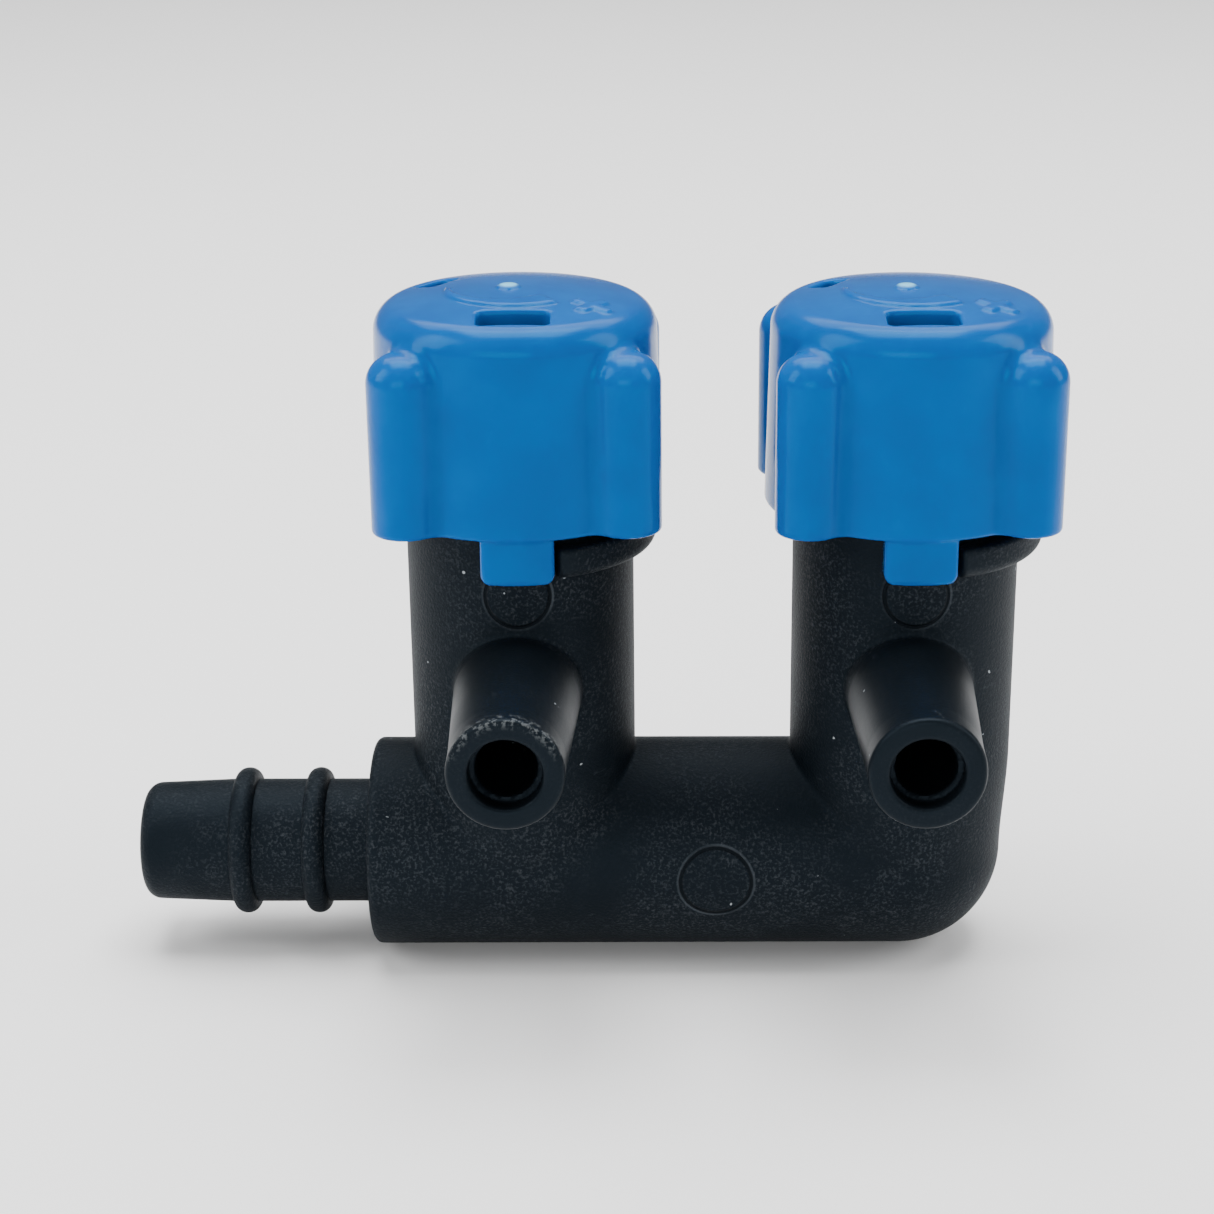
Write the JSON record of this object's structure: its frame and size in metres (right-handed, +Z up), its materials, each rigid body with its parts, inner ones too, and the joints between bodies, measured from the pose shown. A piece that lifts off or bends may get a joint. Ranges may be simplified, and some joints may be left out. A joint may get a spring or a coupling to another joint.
{
  "type": "drip emitter",
  "caption": "Irrigation drip emitter: a ribbed tube inlet feeds a short header whose upright valve posts each turn water to a front outlet with a lobed knob.",
  "frame": {"origin": "on the inlet axis, midway between the inlet's two grip rings", "axes": "+X along the header away from the inlet, +Z up the valve posts, and the outlets point along -Y"},
  "size_m": [0.0336, 0.0162, 0.0254],
  "materials": {
    "black_body": "spark-eroded fine grain",
    "blue_knob": "smooth satin gloss",
    "white_plug": "smooth natural acetal",
    "seal_rubber": "greased rubber"
  },
  "bodies": {
    "manifold": {"manifold_body": "black_body", "inlet_barb": "black_body"},
    "left_valve": {"left_knob": "blue_knob", "left_valve_plug": "white_plug", "left_upper_seal": "seal_rubber", "left_lower_seal": "seal_rubber"},
    "right_valve": {"right_knob": "blue_knob", "right_valve_plug": "white_plug", "right_upper_seal": "seal_rubber", "right_lower_seal": "seal_rubber"}
  },
  "joints": [
    {"name": "left_knob_turn", "type": "hinge", "parent": "manifold", "child": "left_valve", "pos_m": [0.0092, 0, 0.0075], "axis": [0, 0, 1], "range_deg": [-180, 0]},
    {"name": "right_knob_turn", "type": "hinge", "parent": "manifold", "child": "right_valve", "pos_m": [0.0232, 0, 0.0075], "axis": [0, 0, 1], "range_deg": [-180, 0]}
  ]
}
